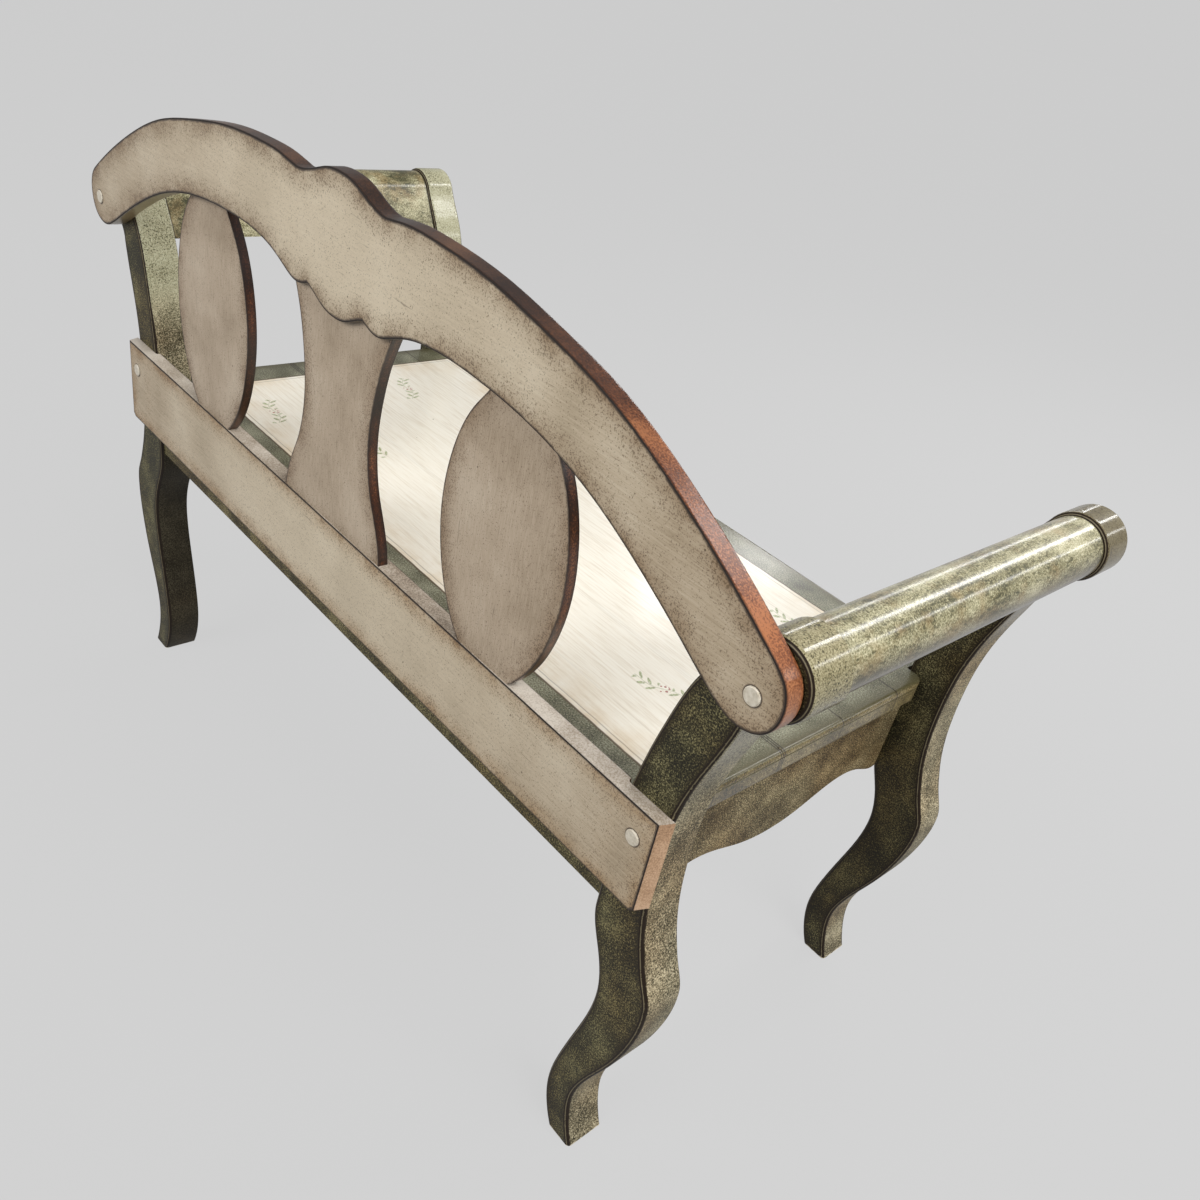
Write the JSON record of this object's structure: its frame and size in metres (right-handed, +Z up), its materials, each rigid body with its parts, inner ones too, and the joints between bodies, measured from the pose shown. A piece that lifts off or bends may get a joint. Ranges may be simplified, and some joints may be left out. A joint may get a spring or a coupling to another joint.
{
  "type": "accent bench",
  "caption": "Wooden accent bench: shaped crest over a waisted centre splat and oval splats, rolled arms between scrolled legs, planked seat, shaped aprons.",
  "frame": {"origin": "middle of the outer box at floor level, on the undersides of the feet", "axes": "+X along the bench's length, -Y out of its front (the sitter faces -Y), +Z up"},
  "size_m": [1.21, 0.522, 0.8552],
  "materials": {
    "tan_back": "cream paint over wood, tan glaze, satin",
    "olive_leg": "dark olive speckled paint over wood, antiqued, satin",
    "olive_arm": "pale olive speckled paint over a rounded rail, glossy",
    "olive_apron": "brown-olive mottled paint over wood, antiqued, satin",
    "seat_paint": "cream painted field with an olive border and small painted sprigs, crackled satin",
    "plug_wood": "glazed wooden plug, satin",
    "bare_wood": "bare planed wood",
    "screw_steel": "plain steel"
  },
  "bodies": {
    "root": {"crest_rail": "tan_back", "back_rail": "tan_back", "centre_splat": "tan_back", "oval_splat_left": "tan_back", "oval_splat_right": "tan_back", "back_leg_left": "olive_leg", "back_leg_right": "olive_leg", "front_leg_left": "olive_leg", "front_leg_right": "olive_leg", "arm_roll_left": "olive_arm", "arm_roll_right": "olive_arm", "seat_plank_1": "seat_paint", "seat_plank_2": "seat_paint", "seat_plank_3": "seat_paint", "seat_plank_4": "seat_paint", "seat_plank_5": "seat_paint", "side_apron_left": "olive_apron", "side_apron_right": "olive_apron", "back_apron": "olive_apron", "front_apron": "olive_apron", "corner_block_back_left": "bare_wood", "corner_block_back_right": "bare_wood", "corner_block_front_left": "bare_wood", "corner_block_front_right": "bare_wood", "crest_plugs": "plug_wood", "rail_plugs": "plug_wood", "crest_screws": "screw_steel", "rail_screws": "screw_steel", "corner_block_screws": "screw_steel", "seat_screws": "screw_steel", "arm_dowels": "bare_wood", "back_apron_dowels": "bare_wood", "front_apron_dowels": "bare_wood"}
  },
  "joints": []
}
